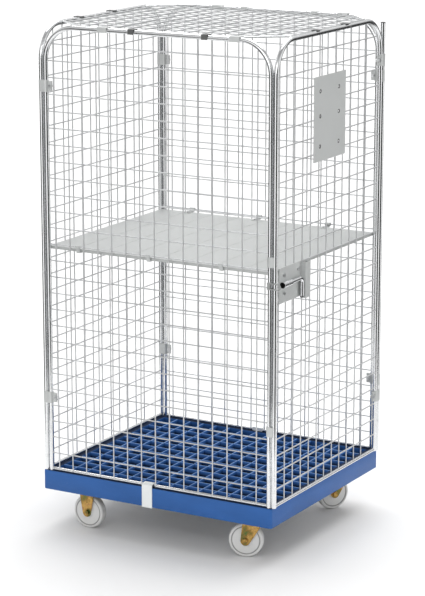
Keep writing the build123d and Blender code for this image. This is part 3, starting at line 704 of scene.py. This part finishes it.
class CAGE_OT_deck(bpy.types.Operator):
    """Make the moulded deck: a hollow rim with rounded edges, chamfered ribs and castor pads"""

    bl_idname = "cage.deck"
    bl_label = "Moulded deck"

    def execute(self, context):
        deck = context.scene.cage_deck
        low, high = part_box("base_platform")
        mesh = bmesh.new()
        rim, edge, floor, top = deck.rim, deck.edge, low.z, high.z
        skirt, flange, inner = 4.5 * MM, 6.0 * MM, rim - deck.rib
        chamfer, shoulder, edge_steps = 0.8 * MM, 1.2 * MM, 4
        outline = [(0.6 * MM, floor), (0.0, floor + chamfer)]
        for k in range(edge_steps + 1):
            angle = math.pi / 2 * k / edge_steps
            outline.append((edge - edge * math.cos(angle), top - edge + edge * math.sin(angle)))
        outline += [(rim - chamfer, top), (rim, top - chamfer), (rim, floor), (inner, floor)]
        outline += [(inner, top - flange), (skirt, top - flange), (skirt, floor)]
        rows = [rim_row(mesh, low, high, inset, height) for inset, height in outline]
        for first, second in zip(rows, rows[1:] + rows[:1]):
            for k in range(len(first)):
                m = (k + 1) % len(first)
                mesh.faces.new((first[k], first[m], second[m], second[k]))
        half, tall = deck.rib / 2, top - floor
        foot = half * 0.85
        rib = [(-foot, 0.0), (foot, 0.0), (half, tall - shoulder), (half - chamfer, tall)]
        rib += [(chamfer - half, tall), (-half, tall - shoulder)]
        in_low = Vector((low.x + rim - MM, low.y + rim - MM, floor))
        in_high = Vector((high.x - rim + MM, high.y - rim + MM, floor))
        run = in_high - in_low - Vector((2 * MM, 2 * MM, 0))
        for i in range(1, deck.cells_x):
            x = low.x + rim + run.x * i / deck.cells_x
            add_bar(mesh, rib, (x, in_low.y, floor), (x, in_high.y, floor))
        for i in range(1, deck.cells_y):
            y = low.y + rim + run.y * i / deck.cells_y
            add_bar(mesh, rib, (in_low.x, y, floor), (in_high.x, y, floor))
        self.pads(mesh, low, high, skirt, inner, flange)
        nodes = ["base_platform", "leg_spigots"]
        settle("moulded_deck", "chassis", mesh, "moulded plastic", nodes)
        return {"FINISHED"}

    def pads(self, mesh, low, high, skirt, inner, flange):
        """Solid blocks over the castors and inside the rim's corners."""
        plate, side, end, thick, block = 80 * MM, 4 * MM, 3 * MM, 27 * MM, 60 * MM
        for node in ("swivel_plates", "fixed_fork_front", "fixed_fork_back"):
            plate_low, plate_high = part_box(node)
            spots = [plate_low.y, plate_high.y - plate] if node == "swivel_plates" else [plate_low.y]
            for y in spots:
                corner = (plate_low.x - side, y - end, low.z)
                add_box(mesh, corner, (plate_high.x + side, y + plate + end, low.z + thick))
        reach, gap = block - skirt + MM, inner - skirt + 2 * MM
        under, over = low.z + MM, high.z - flange + MM
        for sx in (0, 1):
            for sy in (0, 1):
                x = (low.x + skirt - MM) if sx == 0 else (high.x - block)
                y = (low.y + skirt - MM) if sy == 0 else (high.y - inner - MM)
                add_box(mesh, (x, y, under), (x + reach, y + gap, over))
                x = (low.x + skirt - MM) if sx == 0 else (high.x - inner - MM)
                y = (low.y + skirt - MM) if sy == 0 else (high.y - block)
                add_box(mesh, (x, y, under), (x + gap, y + reach, over))


class CAGE_OT_castors(bpy.types.Operator):
    """Make the four turned wheels, and finish the forks, axles and plates"""

    bl_idname = "cage.castors"
    bl_label = "Castors"

    def execute(self, context):
        side = [(8.0, 17.5), (15.4, 17.5), (16.8, 16.9), (18.4, 14.7), (20.0, 14.0), (39.4, 14.0)]
        side += [(40.9, 13.7), (41.7, 12.6), (44.4, 12.5), (45.2, 13.3), (46.2, 14.4), (49.0, 13.9)]
        side += [(51.5, 12.4), (53.2, 9.8), (53.9, 6.0)]
        wheel_radius = 54.0 * MM
        profile = [(r * MM, h * MM) for r, h in side] + [(r * MM, -h * MM) for r, h in reversed(side)]
        for joint in frame["joints"]:
            body = joint["child"]
            if not body.startswith("wheel_"):
                continue
            mesh = bmesh.new()
            add_lathe(mesh, profile, joint["pos_m"], joint["axis"], WHEEL_SEGMENTS, wheel_radius)
            settle(body + "_tyre", body, mesh, "wheel plastic", [body])
            dress("bush plastic", body.replace("wheel_", "wheel_bush_"))
        dress("yellow zinc", "fixed_fork_front", "fixed_fork_back", "swivel_fork_front", "swivel_fork_back")
        dress("yellow zinc", "swivel_plates", "kingpins")
        dress("yellow zinc", "fixed_axles", "swivel_axle_front", "swivel_axle_back")
        dress("plated bolts", "castor_bolts")
        return {"FINISHED"}


class CAGE_OT_lid(bpy.types.Operator):
    """Make the lid from a bent rod and two layers of round wire"""

    bl_idname = "cage.lid"
    bl_label = "Mesh lid"

    def execute(self, context):
        tubes, wires = context.scene.cage_tubes, context.scene.cage_wires
        low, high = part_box("lid_edge_rod")
        rod, level = tubes.lid_rod, (low.z + high.z) / 2
        low, high = low + Vector((rod, rod, 0)), high - Vector((rod, rod, 0))
        cut_x, cut_y, bend = 125 * MM, 92 * MM, 16 * MM
        left, right, front, back = low.x + cut_x, high.x - cut_x, low.y + cut_y, high.y - cut_y
        spots = [(left, low.y), (right, low.y), (high.x, front), (high.x, back)]
        spots += [(right, high.y), (left, high.y), (low.x, back), (low.x, front)]
        mesh = bmesh.new()
        path = rounded_path([(x, y, level) for x, y in spots], bend, closed=True)
        add_tube(mesh, path, rod, ROD_SIDES, closed=True)
        settle("lid_rod", "lid", mesh, "bright zinc", ["lid_edge_rod"])
        mesh = bmesh.new()
        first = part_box("front_wall_frame")[0].x + tubes.radius + wires.long_first
        for i in range(wires.long_count):
            x = first + i * wires.long_pitch
            cut = max(0.0, (cut_x - min(x - low.x, high.x - x)) / cut_x * cut_y)
            ends = [Vector((x, y, level + wires.layers / 2)) for y in (low.y + cut, high.y - cut)]
            add_tube(mesh, ends, wires.radius, WIRE_SIDES)
        for i in range(wires.lid_count):
            y = wires.lid_first + wires.lid_pitch * i
            cut = max(0.0, (cut_y - min(y - low.y, high.y - y)) / cut_y * cut_x)
            ends = [Vector((x, y, level - wires.layers / 2)) for x in (low.x + cut, high.x - cut)]
            add_tube(mesh, ends, wires.radius, WIRE_SIDES)
        settle("lid_wires", "lid", mesh, "drawn wire", ["lid_mesh"])
        dress("satin zinc", "lid_front_bands", "lid_hinge_bands")
        # The hooks and door rests take a much darker copy of the satin sheet, as painted shade.
        dress("dark zinc", "lid_hooks", "lid_door_rests")
        return {"FINISHED"}


class CAGE_OT_latch(bpy.types.Operator):
    """Make the sliding latch rod, and finish the plates round it"""

    bl_idname = "cage.latch"
    bl_label = "Latch"

    def execute(self, context):
        low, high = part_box("latch_rod")
        radius, bend, setback, tip = 6.0 * MM, 14.0 * MM, 1.0 * MM, 1.5 * MM
        x, z = (low.x + high.x) / 2, high.z - radius
        corners = [(x, low.y, z), (x, high.y - radius, z), (x, high.y - radius, low.z)]
        mesh = bmesh.new()
        path = rounded_path(corners, bend)
        path[0] = path[0] + Vector((0, setback, 0))
        add_tube(mesh, path, radius, BAR_SIDES)
        bar = settle("latch_bar", "latch_rod", mesh, "bright zinc", ["latch_rod"])
        # The rod's tip takes the bored finish, so it is painted black with the bore's painted shade.
        bar.data.materials.append(finish("bored zinc"))
        for face in bar.data.polygons:
            if face.center.y < low.y + tip:
                face.material_index = 1
        dress("black plastic", "latch_rod_cap")
        dress("bored zinc", "latch_guide_tube")
        # The strike hoop takes a darker copy of the satin sheet, as painted shade.
        dress("dull zinc", "strike_hoop")
        dress("satin zinc", "latch_plate", "latch_backing_plate", "latch_channel", "door_keepers")
        dress("label zinc", "label_plate")
        dress("plated bolts", "latch_plate_bolts")
        return {"FINISHED"}


class CAGE_OT_fittings(bpy.types.Operator):
    """Finish the shelf, the bands, the clips and their bolts"""

    bl_idname = "cage.fittings"
    bl_label = "Shelf and fittings"

    def execute(self, context):
        dress("shelf zinc", "shelf_panel")
        dress("satin zinc", "shelf_hinge_rings", "shelf_rests", "corner_bands", "hinge_straps")
        # The hold clips take a brighter copy of the satin sheet, as painted light.
        dress("pale zinc", "front_hold_clip", "back_hold_clip")
        dress("plated bolts", "shelf_hinge_bolts", "corner_band_bolts", "hinge_strap_bolts")
        return {"FINISHED"}


# ---------------------------------------------------------------- stage

NEAR_FLOOR, FAR_FLOOR, FLOOR_CORNERS = 1.7, 30.0, 64
FRONT_LIGHT_PLACE, FRONT_LIGHT_TARGET, FRONT_LIGHT_SIZE = (1.2, -4.6, 3.0), (0.0, 0.0, 0.7), 2.4
SUN_WAY = (0.12, -0.42, -1.0)
CAMERA_PLACE = (3.5985, -6.3277, 2.4278)


def add_light(name, place, target, size, power):
    """A soft square light that faces a point."""
    data = bpy.data.lights.new(name, "AREA")
    data.shape, data.size, data.energy = "SQUARE", size, power
    light = bpy.data.objects.new(name, data)
    light.location = place
    light.rotation_mode = "QUATERNION"
    light.rotation_quaternion = (Vector(target) - Vector(place)).to_track_quat("-Z", "Y")
    bpy.context.scene.collection.objects.link(light)


def add_flat(name, outlines, material):
    """Flat faces of the stage."""
    mesh = bmesh.new()
    for corners in outlines:
        mesh.faces.new([mesh.verts.new(corner) for corner in corners])
    data = bpy.data.meshes.new(name)
    mesh.to_mesh(data)
    mesh.free()
    sheet = bpy.data.objects.new(name, data)
    bpy.context.scene.collection.objects.link(sheet)
    data.materials.append(material)
    return sheet


class CAGE_OT_stage(bpy.types.Operator):
    """Set the pale floor, the soft lights and the camera"""

    bl_idname = "cage.stage"
    bl_label = "Studio stage"

    def execute(self, context):
        stage = context.scene.cage_stage
        context.scene.view_settings.view_transform = "Standard"
        look = Finish(bpy.data.materials.new("studio floor"))
        tone = look.mix(look.cloud(0.7, 3.0), darker(stage.floor, 0.985), tuple(stage.floor))
        floor = look.close({"Base Color": tone, "Roughness": 0.55, "Specular IOR Level": 0.3})
        near, wide = NEAR_FLOOR, FAR_FLOOR
        turns = [2 * math.pi * k / FLOOR_CORNERS for k in range(FLOOR_CORNERS)]
        ring = [(math.cos(turn), math.sin(turn)) for turn in turns]
        add_flat("studio_floor", [[(near * c, near * d, 0) for c, d in ring]], floor)
        quads = []
        for first, second in zip(ring, ring[1:] + ring[:1]):
            corners = ((near, first), (wide, first), (wide, second), (near, second))
            quads.append([(r * c, r * d, 0) for r, (c, d) in corners])
        far = add_flat("studio_floor_far", quads, floor)
        far.visible_glossy = False
        self.sky(context)
        add_light("front_light", FRONT_LIGHT_PLACE, FRONT_LIGHT_TARGET, FRONT_LIGHT_SIZE, stage.key)
        data = bpy.data.lights.new("top_light", "SUN")
        data.energy, data.angle = stage.sun, stage.sun_spread
        sun = bpy.data.objects.new("top_light", data)
        sun.rotation_mode = "QUATERNION"
        sun.rotation_quaternion = Vector(SUN_WAY).to_track_quat("-Z", "Y")
        context.scene.collection.objects.link(sun)
        self.camera(context)
        return {"FINISHED"}

    def sky(self, context):
        """A pale surround. Polished metal sees bright and dark screens round the object instead."""
        world = bpy.data.worlds.new("studio sky")
        context.scene.world = world
        look = Finish(world)
        x, y, z = look.axes(look.node("ShaderNodeTexCoord", output="Generated"))
        turn = look.maths("ARCTAN2", y, x)
        screens = look.between(look.maths("SINE", turn * 3.0 + 0.26), 0.05, 0.55, 0.05, 1.25)
        above = look.between(z, 0.04, 0.40)
        overhead = look.between(z, 0.30, 0.80, 0.95, 0.40)
        mirrored = screens * (1.0 - above) + above * overhead
        seen = look.node("ShaderNodeLightPath", output="Is Camera Ray")
        glossy = look.node("ShaderNodeLightPath", output="Is Glossy Ray")
        plain = (1.0 - glossy) * context.scene.cage_stage.sky + glossy * mirrored
        strength = seen * 1.2 + (1.0 - seen) * plain
        sky = look.node("ShaderNodeBackground", None, {"Color": (1.0, 1.0, 1.0), "Strength": strength})
        look.node("ShaderNodeOutputWorld", None, {"Surface": sky})

    def camera(self, context):
        """The camera, level across and looking down a little."""
        stage = context.scene.cage_stage
        data = bpy.data.cameras.new("camera")
        data.lens, data.sensor_width = stage.lens, 36.0
        camera = bpy.data.objects.new("camera", data)
        a, p = stage.azimuth, stage.pitch
        ahead = Vector((-math.sin(a) * math.cos(p), math.cos(a) * math.cos(p), -math.sin(p)))
        camera.location = CAMERA_PLACE
        camera.rotation_mode = "QUATERNION"
        camera.rotation_quaternion = ahead.to_track_quat("-Z", "Y")
        context.scene.collection.objects.link(camera)
        context.scene.camera = camera


# ---------------------------------------------------------------- panel and registration

GROUPS = (
    ("cage_wires", WireSizes),
    ("cage_tubes", TubeSizes),
    ("cage_deck", DeckLook),
    ("cage_metal", MetalLook),
    ("cage_wheel", WheelLook),
    ("cage_stage", StageLook),
)
OPERATORS = (
    CAGE_OT_stage,
    CAGE_OT_deck,
    CAGE_OT_walls,
    CAGE_OT_castors,
    CAGE_OT_lid,
    CAGE_OT_latch,
    CAGE_OT_fittings,
)


class CAGE_PT_panel(bpy.types.Panel):
    """Sizes, colours and build steps of the roll cage"""

    bl_idname = "CAGE_PT_panel"
    bl_label = "Roll cage"
    bl_space_type = "VIEW_3D"
    bl_region_type = "UI"
    bl_category = "Roll cage"

    def draw(self, context):
        for name, group in GROUPS:
            box = self.layout.box()
            for key in group.__annotations__:
                box.prop(getattr(context.scene, name), key)
        for operator in OPERATORS:
            self.layout.operator(operator.bl_idname)


def register():
    for name, group in GROUPS:
        bpy.utils.register_class(group)
        setattr(bpy.types.Scene, name, bpy.props.PointerProperty(type=group))
    for operator in OPERATORS:
        bpy.utils.register_class(operator)
    bpy.utils.register_class(CAGE_PT_panel)


def unregister():
    bpy.utils.unregister_class(CAGE_PT_panel)
    for operator in reversed(OPERATORS):
        bpy.utils.unregister_class(operator)
    for name, group in reversed(GROUPS):
        delattr(bpy.types.Scene, name)
        bpy.utils.unregister_class(group)


def main():
    register()
    bpy.ops.cage.stage()
    bpy.ops.cage.deck()
    bpy.ops.cage.walls()
    bpy.ops.cage.castors()
    bpy.ops.cage.lid()
    bpy.ops.cage.latch()
    bpy.ops.cage.fittings()


if __name__ == "__main__":
    main()
